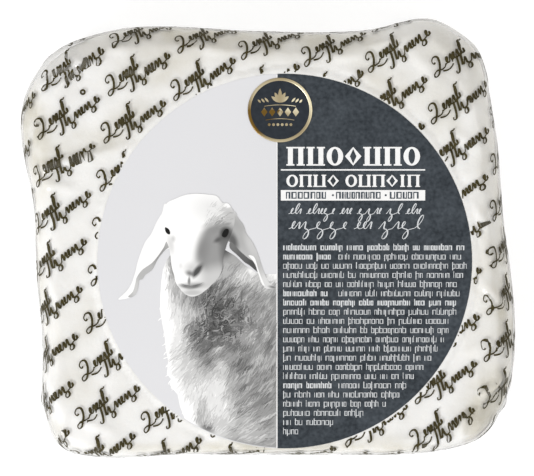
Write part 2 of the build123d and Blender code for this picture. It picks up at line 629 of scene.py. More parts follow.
# %% draw one motif
def pen_loops(loops, start, lean, steps):
    """Points of a looping pen line; each loop has an advance, a height and how far it swings."""
    x, y = start
    points = []
    for advance, height, swing in loops:
        for step in range(steps):
            t = step / steps
            lift = height * (1 - math.cos(2 * math.pi * t)) / 2
            sway = swing * advance * math.sin(2 * math.pi * t)
            points.append((x + advance * t + sway + lean * lift, y + lift))
        x += advance
    points.append((x, y))
    return points


def ribbon_edges(points, thin, thick):
    """The two edges of the ribbon that a pen leaves: thick going down, thin going up."""
    left, right = [], []
    for k, (x, y) in enumerate(points):
        before, after = points[max(k - 1, 0)], points[min(k + 1, len(points) - 1)]
        dx, dy = after[0] - before[0], after[1] - before[1]
        length = math.hypot(dx, dy) or 1.0
        half = (thin + (thick - thin) * max(0.0, -dy / length)) / 2
        left.append((x - dy / length * half, y + dx / length * half))
        right.append((x + dy / length * half, y - dx / length * half))
    return left, right


def turned(points, degrees):
    """Plane points turned about the origin."""
    c, s = math.cos(math.radians(degrees)), math.sin(math.radians(degrees))
    return [(x * c - y * s, x * s + y * c) for x, y in points]


def smooth_curve(points, steps=6, closed=False):
    """A Catmull-Rom curve through the points."""
    found = []
    count = len(points)
    for k in range(count if closed else count - 1):
        near = [(k + d) % count if closed else min(max(k + d, 0), count - 1) for d in (-1, 0, 1, 2)]
        p0, p1, p2, p3 = (np.array(points[i], float) for i in near)
        for step in range(steps):
            t = step / steps
            found.append(tuple(0.5 * (2 * p1 + (p2 - p0) * t + (2 * p0 - 5 * p1 + 4 * p2 - p3) * t**2
                                      + (3 * p1 - p0 - 3 * p2 + p3) * t**3)))
    return found if closed else found + [tuple(points[-1])]


# %% the motif's strokes
motif_slant = 38.0
motif_pens = (0.33, 0.63)       # thin and thick stroke, in mm
swirl = [(1.5, 2.2), (0.9, 2.0), (0.9, 2.9), (1.9, 3.5), (2.8, 3.0), (2.5, 1.6), (1.5, 0.2), (0.4, -0.8),
         (-0.6, -0.9), (-0.5, -0.1), (0.6, 0.2), (1.9, -0.3), (3.0, -0.2), (3.6, 0.4)]
wave = [(5.2, -0.3), (5.8, 0.3), (6.8, 0.1), (8.0, 0.0), (9.0, 0.4)]
first_stem = [(6.8, 0.1), (6.3, -1.3), (5.7, -2.6), (5.0, -3.5), (4.3, -3.4), (4.6, -2.8)]
second_stem = [(7.9, 0.0), (7.4, -1.3), (6.9, -2.5)]
flag = [(9.2, 3.2), (9.7, 3.7), (10.3, 3.5), (10.8, 3.8)]
upper_run = [(1.05, 1.6, 0.45), (1.0, 1.7, 0.0), (1.05, 1.6, 0.45), (1.0, 1.7, 0.0), (1.35, 3.3, 0.42),
             (0.5, 1.1, 0.2)]
lower_run = [(1.05, 1.7, 0.0), (1.1, -1.5, 0.75), (1.1, 1.7, 0.0), (1.05, 1.6, 0.0), (1.1, 1.7, 0.4),
             (1.05, 1.6, 0.0), (1.05, 1.7, 0.0), (1.15, -1.4, 0.8), (1.1, 1.65, 0.45), (0.5, 0.9, 0.1)]
motif_strokes = [
    smooth_curve(swirl, 4),
    pen_loops(upper_run, (3.5, 0.1), 0.45, 10),
    smooth_curve(flag, 3),
    smooth_curve(wave, 4),
    smooth_curve(first_stem, 3),
    smooth_curve(second_stem, 3),
    pen_loops(lower_run, (7.2, -2.6), 0.45, 10),
    [(1.9 + 0.27 * k, -0.75 - 0.6 * math.sin(math.pi * k / 12)) for k in range(13)],
]
motif_ribbons = []
for stroke in motif_strokes:
    edges = ribbon_edges(stroke, *motif_pens)
    motif_ribbons.append([turned(edge, motif_slant) for edge in edges])
motif_reach = 8.5               # from the motif's start to its middle
motif_middle = turned([(motif_reach, -0.5)], motif_slant)[0]
print("points in each stroke:", [len(stroke) for stroke in motif_strokes])

# %% [markdown]
# Film is wrapped, not stamped, so a flourish that reaches an edge of the block goes on down the
# side. To place it, the skin is cut into slices. In each slice the distance walked along the surface
# from the middle of the top gives a point, so flat lattice coordinates turn into places on the
# block. Slices one way carry the top, the left and right sides and the underside; slices the other
# way carry the front and back.

# %% walk round the block in slices
skin_tree = BVHTree.FromPolygons([Vector(p) for p in skin_points.tolist()], skin_faces)
slice_rays = 240


def walk_slice(axis, offset):
    """Distances and points round one slice, from the middle of the top; None if it misses."""
    middle = pack_high.z / 2
    hub = Vector((0.0, offset * mm, middle) if axis == "x" else (offset * mm, 0.0, middle))
    hits = []
    for k in range(-slice_rays // 2, slice_rays // 2 + 1):
        angle = 2 * math.pi * k / slice_rays
        sideways = math.sin(angle)
        ray = Vector((sideways, 0, math.cos(angle)) if axis == "x" else (0, sideways, math.cos(angle)))
        hit = skin_tree.ray_cast(hub, ray)[0]
        if hit is None:
            return None
        hits.append(hit)
    hits = np.array(hits)
    steps = np.linalg.norm(np.diff(hits, axis=0), axis=1)
    walked = np.concatenate([[0.0], np.cumsum(steps)])
    return (walked - walked[slice_rays // 2]) / mm, hits


def slice_table(axis, reach, spacing=2.0):
    """Every slice one way, by its offset in millimetres."""
    offsets = np.arange(-reach, reach + 0.1, spacing)
    table = [walk_slice(axis, offset) for offset in offsets]
    return offsets, table


row_offsets, rows = slice_table("x", 54.0)
column_offsets, columns = slice_table("y", 60.0)
print("slices:", len(rows), "and", len(columns))


# %% turn lattice places into places on the block
def on_slices(offsets, table, walked, offset):
    """The point that lies this far along the slice at this offset; None past the last slice."""
    if not offsets[0] <= offset <= offsets[-1]:
        return None
    place = (offset - offsets[0]) / (offsets[1] - offsets[0])
    first = min(int(place), len(offsets) - 2)
    share = place - first
    if table[first] is None or table[first + 1] is None:
        return None
    found = np.zeros(3)
    for weight, (distance, hits) in ((1 - share, table[first]), (share, table[first + 1])):
        if not distance[0] <= walked <= distance[-1]:
            return None
        found += weight * np.array([np.interp(walked, distance, hits[:, i]) for i in range(3)])
    return Vector(found)


film_tree = BVHTree.FromPolygons([Vector(p) for p in film_points.tolist()], skin_faces)
ink_height = 0.05 * mm
most_on_top = 2.6
fewest_kept = 0.7                # share of a motif's strokes, or the motif is left out
most_stretch = 1.45             # a stroke isn't drawn where the film would pull it longer than this


def on_film(u, v, over_ends):
    """Just over the film at lattice place (u, v), in millimetres."""
    if over_ends:
        rough = on_slices(column_offsets, columns, v, u)
    else:
        rough = on_slices(row_offsets, rows, u, v)
    if rough is None:
        return None
    hidden = math.hypot(rough.x - label_x, rough.y - label_y) < label_radius + 0.1 * mm
    if hidden and rough.z > pack_high.z / 2:
        return None
    place, normal, _, _ = film_tree.find_nearest(rough)
    return place + normal * ink_height


# %% print the whole film
across_step = (16.75, -1.05)    # from a motif to the next one along, in mm
down_step = (-1.1, -12.05)      # and to the next one below
first_motif = (-40.8, 37.8)
top_reach = 47.0                # motifs beyond this go over the front and back edges
end_reach = 52.0
side_walk = 182.0               # half way round a slice
end_walk = 112.0                # from the middle of the top down to the table


def lattice_places():
    """Where motifs start, and whether each is carried over the ends."""
    for i in range(-14, 18):
        for j in range(-12, 20):
            u = first_motif[0] + i * across_step[0] + j * down_step[0]
            v = first_motif[1] + i * across_step[1] + j * down_step[1]
            middle_u, middle_v = u + motif_middle[0], v + motif_middle[1]
            over_ends = abs(middle_v) > top_reach and abs(middle_u) < end_reach
            if over_ends and abs(middle_v) < end_walk + 4:
                yield u, v, True
            elif not over_ends and abs(middle_v) < 60 and abs(middle_u) < side_walk:
                yield u, v, False


# %% pull the lattice as the film was pulled
left_pull = (0.9, -0.7)         # how far the film was pulled along and up when it was wrapped, in mm
right_pull = (0.35, -1.9)


def pulled(u, v):
    """A motif's lattice place after the film was pulled; it skews most on the right."""
    share = float(rise(np.array(u + motif_middle[0]), -30.0, 45.0))
    level = min(50.0, max(-50.0, v + motif_middle[1]))
    along = left_pull[0] * (1 - share) + (right_pull[0] - 0.035 * level) * share
    up = left_pull[1] * (1 - share) + (right_pull[1] - 0.018 * level) * share
    return u + along, v + up


# %% lay one ribbon on the film
def lay_ribbon(edges, u, v, over_ends):
    """One ribbon's points and faces on the film, and how much longer the film makes it."""
    points, faces = [], []
    on_flat, on_pack, last, last_place = 0.0, 0.0, None, None
    for (lx, ly), (rx, ry) in zip(*edges):
        a, b = on_film(u + lx, v + ly, over_ends), on_film(u + rx, v + ry, over_ends)
        if a is None or b is None:
            last = None
            continue
        points += [a, b]
        here = len(points) - 2
        if last is not None:
            faces.append((last, last + 1, here + 1, here))
            on_flat += math.dist((lx, ly), last_place) * mm
            on_pack += (a - points[last]).length
        last, last_place = here, (lx, ly)
    return points, faces, on_pack / on_flat if on_flat else 0.0


def stretch_allowed(u, v):
    """On the top a stroke may follow the film over a pleat; round the upright corners it may not."""
    on_top = abs(u + motif_middle[0]) < 60 and abs(v + motif_middle[1]) < 53
    return most_on_top if on_top else most_stretch


def gather(points, faces, ribbon_points, ribbon_faces):
    """Add one ribbon to the mesh of the whole print."""
    first = len(points)
    points += ribbon_points
    faces += [tuple(first + corner for corner in face) for face in ribbon_faces]


# %% print every motif
def print_motifs():
    """Every motif's ribbons on the film, as one mesh."""
    points, faces, count = [], [], 0
    for u, v, over_ends in lattice_places():
        limit = stretch_allowed(u, v)
        u, v = pulled(u, v)
        ribbons = [lay_ribbon(edges, u, v, over_ends) for edges in motif_ribbons]
        kept = [ribbon for ribbon in ribbons if ribbon[2] < limit]
        if len(kept) < fewest_kept * len(ribbons):
            continue
        count += 1
        for ribbon_points, ribbon_faces, _ in kept:
            gather(points, faces, ribbon_points, ribbon_faces)
    turns = [k * math.pi / 8 for k in range(17)]
    register_ring = [(0.52 * math.cos(turn), 0.52 * math.sin(turn)) for turn in turns]
    edge_arc = [(0.75 * k, -0.02 * k * k) for k in range(-7, 8)]
    extras = [(register_ring, 0.5, (-46.7, 37.0, False)), (edge_arc, 0.45, (0.5, -54.6, True))]
    for line, width, place in extras:
        gather(points, faces, *lay_ribbon(ribbon_edges(line, width, width), *place)[:2])
    print("motifs:", count)
    return points, faces


# %% the ink's finish
def ink_finish(name, light, dark):
    """Printing ink: close to one colour, a little worn and uneven."""
    finish = Finish(name)
    finish.printed(finish.mix(finish.mottle(700.0, 0.0, 1.0), dark, light), 0.12)
    return finish.material


brown_ink = ink_finish("brown_ink", tone(0.265, 0.24, 0.14), tone(0.175, 0.155, 0.07))
ink_points, ink_faces = print_motifs()
add_piece("film_print", ink_points, ink_faces, brown_ink)

# %% [markdown]
# ## The label
# The CAD disc has the right shape, so it stays and only gets a better finish. One half is a light
# grey field. The other half is slate: a dark blue-grey print of stone, mottled at three scales.


# %% the label's finish
def label_finish():
    """Light grey on one side of the split and mottled slate on the other."""
    finish = Finish("printed_label")
    side = finish.nodes.new("ShaderNodeSeparateXYZ")
    finish.links.new(finish.place, side.inputs["Vector"])
    dark_side = finish.maths("GREATER_THAN", side.outputs["X"], label_x + split_x)
    speckle = finish.mottle(1000.0, 0.0, 0.6, 5.0)
    clouds = finish.mottle(130.0, 0.0, 0.4, 5.0)
    stone = finish.mix(finish.maths("ADD", speckle, clouds), tone(0.095, 0.12, 0.145),
                       tone(0.265, 0.29, 0.315))
    paper = finish.mix(finish.mottle(30.0, 0.0, 1.0), tone(0.805, 0.806, 0.818), tone(0.813, 0.814, 0.826))
    finish.printed(finish.mix(dark_side, paper, stone), 0.2)
    finish.bump(finish.mottle(2500.0, 0.0, 1.0), 0.02 * mm, 0.5)
    return finish.material


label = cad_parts["label"]
label.data.materials.clear()
label.data.materials.append(label_finish())
print_layer = 0.02 * mm         # each layer of print lies this far above the one below


# %% helpers for flat print
def on_label(x, y, layer):
    """A point of the label's print from millimetres about the label's centre."""
    return (label_x + x * mm, label_y + y * mm, label_top + layer * print_layer)


def smooth_loop(points):
    """A closed curve through the points."""
    return smooth_curve(points, closed=True)


overprint = 0.05                # shapes that cross on one layer lie this share of a layer apart
body_layer, wool_layer, ears_layer, under_ear_layer, fold_layer = 1, 1.6, 4.6, 4.9, 5.2
head_layer, marks_layer, brow_layer, eyes_layer = 5.5, 5.8, 6.0, 6.9
text_layer, band_words_layer, badge_layer, badge_motif_layer = 2, 3, 7, 8.5


class FlatPrint:
    """Gathers flat shapes of one colour on one layer of the label."""

    def __init__(self, layer):
        self.layer, self.points, self.faces = layer, [], []

    def shape(self, outline, level=None):
        """One filled outline, wound so that it faces up."""
        area = sum(a[0] * b[1] - b[0] * a[1] for a, b in zip(outline, outline[1:] + outline[:1]))
        if area < 0:
            outline = outline[::-1]
        first = len(self.points)
        height = self.layer + overprint * (len(self.faces) % 16 if level is None else level)
        self.points += [on_label(x, y, height) for x, y in outline]
        self.faces.append(tuple(range(first, len(self.points))))

    def bar(self, left, bottom, right, top_edge):
        """An upright rectangle."""
        self.shape([(left, bottom), (right, bottom), (right, top_edge), (left, top_edge)])

    def ribbon(self, points, thin, thick):
        """A pen line."""
        left, right = ribbon_edges(points, thin, thick)
        for k in range(len(points) - 1):
            self.shape([left[k], right[k], right[k + 1], left[k + 1]])

    def disc(self, x, y, radius, sides=24):
        """A round dot."""
        angles = [2 * math.pi * k / sides for k in range(sides)]
        self.shape([(x + radius * math.cos(a), y + radius * math.sin(a)) for a in angles])

    def add(self, name, material):
        """The gathered shapes as one piece."""
        return add_piece(name, self.points, self.faces, material)


# %% [markdown]
# ### The sheep
# The light half carries a grey half-tone picture of a lop-eared sheep. It is built as a printer
# builds one: flat outlines for body, ears and head, soft patches for the light and shade inside
# them, and then many short strokes for the wool. The same list of patches shades the print and
# chooses how light each stroke is.


# %% shade a shape with soft patches
print_white = 0.925             # how light the paper's own white is


def shaded_print(name, base, patches):
    """A print finish of one grey with soft patches over it, in millimetres on the label."""
    finish = Finish(name)
    colour = None
    for (x, y), (wide, high), degrees, blur, grey in patches:
        mask = finish.patch(on_label(x, y, 0), (wide * mm, high * mm, 1.0), degrees, blur)
        colour = finish.mix(mask, colour or tone(base * print_white), tone(grey * print_white))
    if colour is None:
        grain = finish.mottle(500.0, 0.0, 1.0)
        colour = finish.mix(grain, tone(base * print_white), tone(base * print_white * 1.02))
    finish.printed(colour, 0.2)
    return finish.material


def print_shapes(name, finish_name, layer, outlines, base, patches=()):
    """Filled outlines on one layer, as one piece of one shaded grey."""
    page = FlatPrint(layer)
    for outline in outlines:
        page.shape(outline)
    page.add(name, shaded_print(finish_name, base, patches))


def grey_at(x, y, base, patches):
    """The same shading worked out at one place."""
    grey = base
    for (cx, cy), (wide, high), degrees, blur, patch_grey in patches:
        c, s = math.cos(math.radians(-degrees)), math.sin(math.radians(-degrees))
        dx, dy = (x - cx) * c - (y - cy) * s, (x - cx) * s + (y - cy) * c
        reach = math.hypot(dx / wide, dy / high)
        share = min(1.0, max(0.0, (1 + blur - reach) / (2 * blur)))
        grey += (patch_grey - grey) * share * share * (3 - 2 * share)
    return grey


# %% the sheep's body
circle_reach = label_radius / mm - 0.15
split = split_x / mm


def label_edge(first_degrees, last_degrees, count=14):
    """Points along the label's rim."""
    angles = np.radians(np.linspace(first_degrees, last_degrees, count))
    return [(circle_reach * math.cos(a), circle_reach * math.sin(a)) for a in angles]


split_bottom = (split, -math.sqrt(circle_reach**2 - split**2))
body_side = [
    (-18.0, 4.5), (-24.0, 3.0), (-29.1, 1.4), (-30.1, 0.0), (-30.9, -2.2), (-31.3, -4.9), (-31.6, -8.6),
    (-31.6, -12.8), (-31.1, -15.8), (-30.5, -18.8), (-30.2, -22.1), (-29.6, -25.4), (-29.9, -28.6),
    (-28.9, -29.9), (-29.2, -31.3), (-28.3, -32.6), (-27.2, -33.8), (-26.6, -36.8), (-25.6, -39.4),
]
body_back = [(split, -3.3), (-4.8, -3.3), (-7.0, -3.1), (-10.0, -1.1), (-12.7, 1.4)]
body_outline = body_side + label_edge(237.6, 267.7) + [split_bottom] + body_back
body_base = 0.60
body_patches = [
    ((-16.2, -13.2), (8.5, 6.0), 15, 0.7, 0.34),
    ((-17.4, -17.2), (5.4, 4.2), 35, 0.8, 0.37),
    ((-10.0, -10.5), (4.5, 3.5), 0, 0.8, 0.52),
    ((-13.6, -24.5), (9.0, 4.0), 35, 0.8, 0.58),
    ((-23.6, -11.8), (3.6, 3.6), 0, 0.8, 0.70),
    ((-27.9, -7.0), (1.9, 5.5), 6, 0.6, 0.68),
    ((-26.6, -13.0), (2.2, 4.5), 8, 0.8, 0.84),
    ((-18.6, -6.5), (4.0, 3.2), 30, 0.8, 0.42),
    ((-14.0, -1.8), (2.8, 4.4), -10, 0.8, 0.66),
    ((-15.0, 3.2), (1.7, 2.2), -15, 0.7, 0.38),
    ((-9.8, -3.0), (3.0, 1.6), -38, 0.7, 0.78),
    ((-8.2, -2.9), (1.6, 0.7), -38, 0.6, 0.97),
    ((-4.5, -5.2), (3.0, 2.0), -20, 0.7, 0.84),
    ((-2.6, -3.6), (1.8, 1.2), 0, 0.4, 1.0),
    ((-5.0, -12.0), (3.5, 6.0), 0, 0.8, 0.62),
    ((-31.6, -9.0), (3.0, 13.0), 2, 0.4, 1.0),
    ((-29.6, -20.5), (5.0, 10.5), 14, 0.5, 1.0),
    ((-27.3, -30.5), (5.0, 8.0), 14, 0.5, 1.0),
    ((-25.0, -38.0), (4.0, 6.0), 22, 0.45, 1.0),
    ((-23.4, -28.0), (2.8, 8.0), 22, 0.7, 0.83),
    ((-17.8, -32.6), (3.4, 6.2), -22, 0.95, 0.94),
    ((-15.0, -37.0), (2.6, 3.6), 20, 0.9, 0.92),
    ((-15.5, -42.4), (4.0, 2.4), 15, 0.7, 0.90),
    ((-21.0, -37.0), (0.9, 3.2), -12, 0.8, 0.68),
    ((-19.5, -42.0), (1.8, 1.2), -25, 0.8, 0.45),
    ((-8.0, -42.6), (6.0, 3.4), 0, 0.8, 0.72),
]
print_shapes("sheep_body", "wool_shade", body_layer, [body_outline], body_base, body_patches)


# %% where the wool is and how it flows
def inside(x, y, outline):
    """Whether a place lies inside an outline."""
    crossings = 0
    for (ax, ay), (bx, by) in zip(outline, outline[1:] + outline[:1]):
        if (ay > y) != (by > y) and x < ax + (y - ay) / (by - ay) * (bx - ax):
            crossings += 1
    return crossings % 2 == 1


def flow_at(x, y):
    """Which way the fleece lies at a place, in degrees."""
    east, north = 0.0, 0.0
    for fx, fy, degrees in fleece_flow:
        weight = math.exp(-((x - fx) ** 2 + (y - fy) ** 2) / 50.0)
        east += weight * math.cos(math.radians(degrees))
        north += weight * math.sin(math.radians(degrees))
    return math.degrees(math.atan2(north, east))


def lock_tone(x, y, flow):
    """Lighter and darker locks, long along the flow and narrow across it; about -1 to 1."""
    c, s = math.cos(math.radians(flow)), math.sin(math.radians(flow))
    along, across = x * c + y * s, y * c - x * s
    return 1.6 * noise.noise(Vector((along * 0.28, across * 0.95, 3.1)))


# %% how the fleece lies and how light it gets
fleece_flow = [
    (-29, -8, 272), (-24, -11, 262), (-16, -12, 225), (-11, -3, 235), (-6, -9, 230), (-27, -22, 224),
    (-22, -26, 222), (-15, -22, 222), (-8, -20, 240), (-4, -26, 248), (-24, -38, 262), (-21, -35, 258),
    (-16, -33, 246), (-8, -33, 224), (-5, -39, 215), (-12, -43, 205),
]
fleece_tones = [0.25, 0.34, 0.43, 0.52, 0.61, 0.71, 0.81, 0.91, 1.0]


def fleece_line(x, y, flow, curly, chance):
    """One wavy hair line from a place; curly ones turn round on themselves."""
    length = chance.uniform(1.8, 3.6) * (1 - 0.4 * curly)
    bend = chance.gauss(0, 22) + curly * chance.choice((-1, 1)) * chance.uniform(60, 190)
    wave = chance.uniform(-14, 14)
    line = [(x, y)]
    for step in range(7):
        heading = math.radians(flow + bend * (step / 6 - 0.5) + wave * math.sin(step * 1.6))
        line.append((line[-1][0] + length / 7 * math.cos(heading),
                     line[-1][1] + length / 7 * math.sin(heading)))
    return line


def wool_strokes(count):
    """Short curved strokes over the body, each with how light and how curly it is."""
    chance = random.Random(11)
    found = []
    while count > 0:
        x, y = chance.uniform(-31.5, split), chance.uniform(-47, 0)
        if not inside(x, y, body_outline):
            continue
        count -= 1
        grey = grey_at(x, y, body_base, body_patches)
        curly = min(0.8, math.exp(-(((x + 14.5) / 8.0) ** 2) - ((y + 14.5) / 6.0) ** 2))
        flow = flow_at(x, y)
        start_flow = flow + chance.gauss(0, 9) + curly * chance.uniform(-90, 90)
        line = fleece_line(x, y, start_flow, curly, chance)
        depth = 0.02 + (0.40 - 0.02 * curly) * (1.0 - grey)
        wanted = grey + depth * lock_tone(x, y, flow) + chance.gauss(0, 0.015 + 0.03 * curly)
        if grey > 0.93:
            line = line[:4]
        if any(px > split - 0.1 or math.hypot(px, py) > circle_reach - 0.1 for px, py in line):
            continue
        overshoots = not all(inside(px, py, body_outline) for px, py in line)
        if overshoots and (grey < 0.9 or chance.random() < 0.85):
            continue
        if grey > 0.93 and not overshoots and wanted > 0.95:
            continue
        found.append((min(fleece_tones, key=lambda t: abs(t - wanted)), line, curly))
    return found


# %% print the strokes without two at one height
wool_levels = {}


def free_level(line):
    """A height that no stroke near this one has used lately."""
    cells = {(round(x / 0.7), round(y / 0.7)) for x, y in line}
    level = max(wool_levels.get(cell, 0) for cell in cells) + 1
    for cell in cells:
        wool_levels[cell] = level
    return level % 56


def tapered(line, widest):
    """A stroke that is widest in its middle, as an outline."""
    left, right = [], []
    for k, (x, y) in enumerate(line):
        bx, by = line[max(k - 1, 0)]
        ax, ay = line[min(k + 1, len(line) - 1)]
        length = math.hypot(ax - bx, ay - by)
        half = widest / 2 * math.sin(math.pi * (k + 0.4) / (len(line) - 0.2))
        nx, ny = -(ay - by) / length, (ax - bx) / length
        left.append((x + nx * half, y + ny * half))
        right.append((x - nx * half, y - ny * half))
    return left + right[::-1]


stroke_widths = random.Random(3)
stroke_count = 7000
wool_sheets = {grey: FlatPrint(wool_layer) for grey in fleece_tones}
for grey, line, curly in wool_strokes(stroke_count):
    widest = stroke_widths.uniform(0.16, 0.34) + 0.1 * curly
    wool_sheets[grey].shape(tapered(line, widest), free_level(line))
for number, (grey, sheet) in enumerate(wool_sheets.items()):
    sheet.add(f"sheep_wool_{number}", shaded_print(f"wool_tone_{number}", grey, ()))

# %% the sheep's ears
left_ear = [
    (-30.1, 14.5), (-31.2, 12.1), (-32.5, 9.9), (-33.9, 6.9), (-35.3, 5.0), (-36.4, 2.5), (-37.4, -0.5),
    (-37.9, -2.7), (-38.9, -5.7), (-40.2, -7.7), (-42.2, -9.6), (-41.1, -9.7), (-38.9, -9.2), (-37.8, -8.5),
    (-37.2, -6.8), (-36.9, -4.9), (-36.1, -4.6), (-35.3, -3.5), (-33.6, -2.2), (-32.3, 0.3), (-30.6, 2.5),
    (-28.6, 3.9), (-27.0, 8.0),
]
left_ear_under = [
    (-30.0, 4.9), (-30.9, 3.1), (-33.4, -0.2), (-36.1, -2.2), (-37.5, -4.1), (-37.9, -5.7), (-38.5, -7.7),
    (-39.7, -9.0), (-38.9, -9.2), (-37.8, -8.5), (-37.2, -6.8), (-36.9, -4.9), (-36.1, -4.6), (-35.3, -3.5),
    (-33.6, -2.2), (-32.3, 0.3), (-30.6, 2.5), (-29.0, 3.9),
]
right_ear = [
    (-13.0, 12.6), (-11.9, 11.0), (-10.5, 9.1), (-9.7, 6.9), (-8.3, 5.0), (-7.2, 2.8), (-6.4, 0.6),
    (-5.9, -1.1), (-5.0, -3.5), (-3.9, -5.5), (-2.2, -6.7), (-3.7, -7.0), (-5.0, -6.8), (-5.6, -5.7),
    (-6.4, -3.5), (-7.2, -1.3), (-8.6, 0.2), (-9.2, 0.6), (-11.4, 2.5), (-12.9, 4.2), (-15.5, 6.0),
    (-16.0, 9.5),
]
right_ear_under = [
    (-13.6, 4.9), (-11.4, 2.6), (-9.2, 0.7), (-8.1, 0.0), (-7.4, -1.3), (-6.7, -2.9), (-8.9, -1.1),
    (-10.3, -0.2), (-11.9, 1.4), (-13.9, 3.3),
]
right_ear_fold = [
    (-9.2, 1.4), (-8.1, 1.3), (-7.4, 0.3), (-6.6, -2.4), (-5.6, -5.0), (-5.1, -6.2), (-5.8, -5.8),
    (-6.7, -3.3), (-7.4, -1.1), (-8.1, 0.1),
]
ear_patches = [
    ((-9.5, 3.5), (6.5, 9.5), 30, 0.5, 0.74),
    ((-12.9, 8.6), (2.6, 3.4), 20, 0.8, 0.66),
    ((-11.6, 5.9), (1.4, 3.0), 30, 0.8, 0.69),
    ((-8.3, 3.8), (1.1, 3.0), 28, 0.8, 0.79),
    ((-4.3, -5.6), (1.4, 1.6), 30, 0.8, 0.86),
    ((-3.0, -6.6), (1.0, 0.35), -10, 0.8, 0.5),
    ((-13.2, 5.2), (1.1, 2.4), 22, 0.7, 0.38),
]
under_patches = [((-31.5, 1.5), (2.5, 2.5), 0, 0.7, 0.60), ((-37.8, -7.0), (1.0, 2.5), 0, 0.7, 0.80)]
dark_patches = [((-13.5, 4.0), (2.0, 2.0), 0, 0.8, 0.45), ((-8.0, -0.8), (1.5, 1.5), 0, 0.8, 0.30)]
ears = [smooth_loop(left_ear), smooth_loop(right_ear)]
print_shapes("sheep_ears", "ear_shade", ears_layer, ears, 0.99, ear_patches)
left_under, right_under = [smooth_loop(left_ear_under)], [smooth_loop(right_ear_under)]
print_shapes("sheep_ear_under", "ear_under", under_ear_layer, left_under, 0.72, under_patches)
print_shapes("sheep_ear_dark", "ear_dark", under_ear_layer, right_under, 0.38, dark_patches)
print_shapes("sheep_ear_fold", "ear_fold", fold_layer, [smooth_loop(right_ear_fold)], 0.97)

# %% the sheep's head
head = [
    (-29.4, 3.5), (-29.0, 1.4), (-28.7, -1.3), (-28.1, -3.5), (-27.6, -5.5), (-26.5, -7.1), (-25.1, -8.5),
    (-23.4, -9.0), (-21.6, -8.5), (-19.8, -7.2), (-18.5, -6.0), (-17.3, -4.8), (-16.3, -3.2), (-15.8, -1.3),
    (-15.5, 1.4), (-14.7, 4.2), (-13.5, 7.0), (-12.7, 10.0), (-12.9, 12.4), (-13.8, 14.0), (-14.6, 14.7),
    (-15.8, 14.8), (-17.3, 16.5), (-19.6, 16.9), (-22.4, 17.1), (-25.1, 16.8), (-27.3, 16.0), (-30.0, 14.6),
    (-31.0, 12.1), (-31.6, 9.5), (-30.4, 6.0),
]
head_patches = [
    ((-15.7, 3.6), (5.9, 9.0), -14, 0.22, 0.60),
    ((-17.6, -4.6), (4.4, 3.0), 20, 0.7, 0.80),
    ((-20.9, 2.6), (1.5, 3.8), -12, 1.0, 0.54),
    ((-17.9, 13.0), (5.0, 3.2), -12, 0.7, 0.93),
    ((-13.9, 11.0), (2.3, 3.2), 20, 0.7, 0.77),
    ((-16.8, 9.9), (3.2, 0.7), 16, 0.8, 0.73),
    ((-17.4, 8.1), (2.3, 0.9), 24, 0.8, 0.57),
    ((-13.6, 5.0), (1.4, 3.4), 12, 0.8, 0.33),
    ((-14.9, 1.8), (1.3, 4.0), 8, 0.9, 0.42),
    ((-15.7, 5.3), (1.5, 1.0), -15, 0.8, 0.42),
    ((-15.1, 7.1), (1.3, 1.5), -15, 0.5, 0.30),
    ((-16.9, 5.4), (1.0, 0.45), 28, 0.9, 0.36),
    ((-14.6, 14.1), (0.95, 0.55), 0, 0.5, 1.0),
    ((-23.4, -2.0), (1.7, 1.5), 0, 0.9, 0.83),
    ((-24.1, -3.1), (0.9, 0.6), -20, 0.9, 0.52),
    ((-22.2, -2.5), (0.8, 2.0), -37, 0.6, 0.30),
    ((-23.75, -4.8), (0.4, 0.8), 0, 0.8, 0.95),
    ((-24.3, -5.2), (0.3, 0.8), 0, 0.8, 0.50),
    ((-23.4, -6.3), (2.8, 0.8), 3, 0.8, 0.68),
    ((-24.2, -5.1), (0.22, 1.1), 0, 0.9, 0.56),
    ((-25.2, -6.4), (1.3, 0.38), -14, 0.9, 0.50),
    ((-22.6, -6.4), (1.5, 0.42), 18, 0.9, 0.46),
    ((-23.3, -8.0), (2.6, 0.8), 0, 0.7, 0.77),
    ((-28.9, 4.2), (0.7, 2.0), 10, 0.8, 0.88),
    ((-28.3, 5.6), (0.5, 0.7), 0, 0.9, 0.84),
    ((-26.4, -1.2), (0.4, 0.6), 0, 0.9, 0.92),
]
head_base = 0.995
print_shapes("sheep_head", "head_shade", head_layer, [smooth_loop(head)], head_base, head_patches)

# %% eyes, nostril and mouth
left_eye = [(-30.3, 8.5), (-30.0, 8.1), (-29.7, 7.6), (-29.4, 7.1), (-29.2, 6.8)]
right_eye = [(-15.95, 6.45), (-15.6, 7.5), (-14.95, 8.15), (-14.3, 8.05), (-14.25, 7.2), (-14.7, 6.3),
             (-15.35, 6.0)]
nostril = [(-21.1, -1.2), (-21.6, -1.9), (-22.2, -2.7), (-22.7, -3.4), (-23.1, -3.8)]
mouth = [(-26.3, -5.7), (-25.2, -6.15), (-24.0, -6.35), (-22.8, -6.25), (-21.6, -5.9), (-20.6, -5.35)]
eyes = [tapered(left_eye, 1.05), smooth_loop(right_eye)]
soft_marks = [tapered(nostril, 0.5), tapered(mouth, 0.12)]
print_shapes("sheep_eyes", "eye_black", eyes_layer, eyes, 0.04)
print_shapes("sheep_marks", "face_marks", marks_layer, soft_marks, 0.30)

